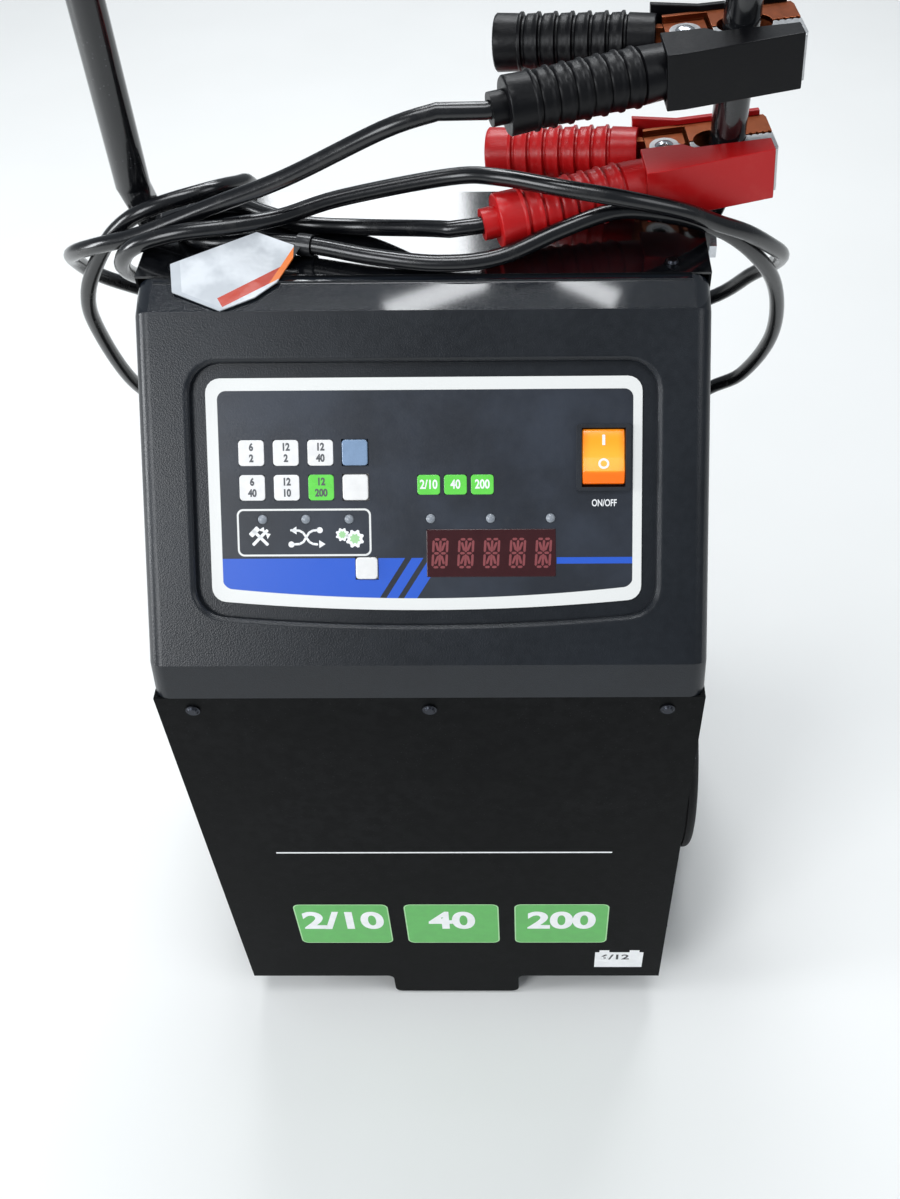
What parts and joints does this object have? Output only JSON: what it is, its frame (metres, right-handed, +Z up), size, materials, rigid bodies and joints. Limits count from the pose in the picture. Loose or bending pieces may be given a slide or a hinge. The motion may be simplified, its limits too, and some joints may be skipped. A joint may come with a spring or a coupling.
{
  "type": "wheeled battery charger",
  "caption": "Upright wheeled battery charger and engine starter with a sloped control face, tube handle, two wheels, a front foot and two coiled leads with spring clamps.",
  "frame": {"origin": "on the floor, at the middle of the machine's width and depth, leads and clamps left out", "axes": "+Z up, -Y out of the front panel and control face, +X to the right seen from the front, along the axle"},
  "size_m": [0.382, 0.285, 0.655],
  "materials": {
    "case_steel": "satin black paint",
    "head_plastic": "satin charcoal",
    "cover_gloss": "gloss black paint",
    "label": "printed slate label with a white border",
    "display": "dark red window",
    "window_white": "translucent white",
    "lamp": "clear red",
    "key_blue": "slate blue key",
    "key_white": "white key",
    "switch_body": "black",
    "rocker": "lit orange",
    "board": "green board",
    "brass": "plain",
    "core": "varnished laminations",
    "copper": "copper",
    "zinc": "zinc plated",
    "aluminium": "extruded",
    "fan": "black",
    "tyre": "black rubber",
    "rim": "black moulded",
    "chrome": "bright",
    "handle": "gloss black powder coat",
    "rubber": "black",
    "grip_black": "satin black sleeve",
    "grip_red": "satin red sleeve",
    "clamp_metal": "plated",
    "tag": "clear and white card"
  },
  "bodies": {
    "charger": {"floor_pan": "case_steel", "front_panel": "case_steel", "control_head": "head_plastic", "top_cover": "cover_gloss", "side_panel_left": "case_steel", "side_panel_right": "case_steel", "rear_panel": "case_steel", "front_foot": "case_steel", "foot_pad": "rubber", "label_plate": "label", "display_window": "display", "display_module": "switch_body", "indicator_windows": "window_white", "indicator_lamps": "lamp", "rocker_frame": "switch_body", "control_board": "board", "board_posts": "brass", "transformer_core": "core", "transformer_windings": "copper", "transformer_bracket": "zinc", "heat_sink": "aluminium", "rectifiers": "brass", "fan_frame": "fan", "fan_guard": "case_steel", "mains_inlet": "switch_body", "axle": "zinc", "axle_caps": "chrome", "handle_tube": "handle", "handle_bolts": "zinc", "gland_black": "rubber", "gland_red": "rubber", "lead_black": "rubber", "lead_red": "rubber", "black_clamp_lever": "clamp_metal", "black_clamp_sleeve": "grip_black", "black_clamp_rivet": "chrome", "red_clamp_lever": "clamp_metal", "red_clamp_sleeve": "grip_red", "red_clamp_rivet": "chrome", "clamp_springs": "zinc", "lead_tag": "tag", "front_screws": "zinc", "cover_screws": "zinc", "side_screws": "zinc", "rear_screws": "zinc"},
    "wheel_left": {"tyre_left": "tyre", "rim_left": "rim"},
    "wheel_right": {"tyre_right": "tyre", "rim_right": "rim"},
    "fan": {"fan_rotor": "fan"},
    "power_rocker": {"rocker": "rocker"},
    "key_function": {"function_key": "key_blue"},
    "key_start": {"start_key": "key_white"},
    "key_display": {"display_key": "key_white"},
    "black_jaw": {"black_clamp_jaw_lever": "copper", "black_clamp_jaw_sleeve": "grip_black"},
    "red_jaw": {"red_clamp_jaw_lever": "copper", "red_clamp_jaw_sleeve": "grip_red"}
  },
  "joints": [
    {"name": "wheel_left_spin", "type": "hinge", "parent": "charger", "child": "wheel_left", "pos_m": [-0.15, 0.042, 0.075], "axis": [1, 0, 0], "continuous": true},
    {"name": "wheel_right_spin", "type": "hinge", "parent": "charger", "child": "wheel_right", "pos_m": [0.15, 0.042, 0.075], "axis": [1, 0, 0], "continuous": true},
    {"name": "fan_spin", "type": "hinge", "parent": "charger", "child": "fan", "pos_m": [0, 0.0763, 0.375], "axis": [0, 1, 0], "continuous": true},
    {"name": "power_rock", "type": "hinge", "parent": "charger", "child": "power_rocker", "pos_m": [0.0852, -0.04034, 0.42109], "axis": [1, 0, 0], "range_deg": [0, 16]},
    {"name": "function_press", "type": "slide", "parent": "charger", "child": "key_function", "axis": [0, 0.7604, -0.6494], "range_m": [0, 0.001], "stiffness_N_per_m": 400, "springref_m": -0.0008},
    {"name": "start_press", "type": "slide", "parent": "charger", "child": "key_start", "axis": [0, 0.7604, -0.6494], "range_m": [0, 0.001], "stiffness_N_per_m": 400, "springref_m": -0.0008},
    {"name": "display_press", "type": "slide", "parent": "charger", "child": "key_display", "axis": [0, 0.7604, -0.6494], "range_m": [0, 0.001], "stiffness_N_per_m": 400, "springref_m": -0.0008},
    {"name": "black_jaw_open", "type": "hinge", "parent": "charger", "child": "black_jaw", "pos_m": [0.12106, 0.07329, 0.5635], "axis": [-0.0696, -0.0049, 0.9976], "range_deg": [0, 12], "stiffness_Nm_per_rad": 2, "springref_deg": -20.05},
    {"name": "red_jaw_open", "type": "hinge", "parent": "charger", "child": "red_jaw", "pos_m": [0.11607, 0.07294, 0.509], "axis": [-0.0869, -0.0061, 0.9962], "range_deg": [0, 12], "stiffness_Nm_per_rad": 2, "springref_deg": -20.05}
  ]
}
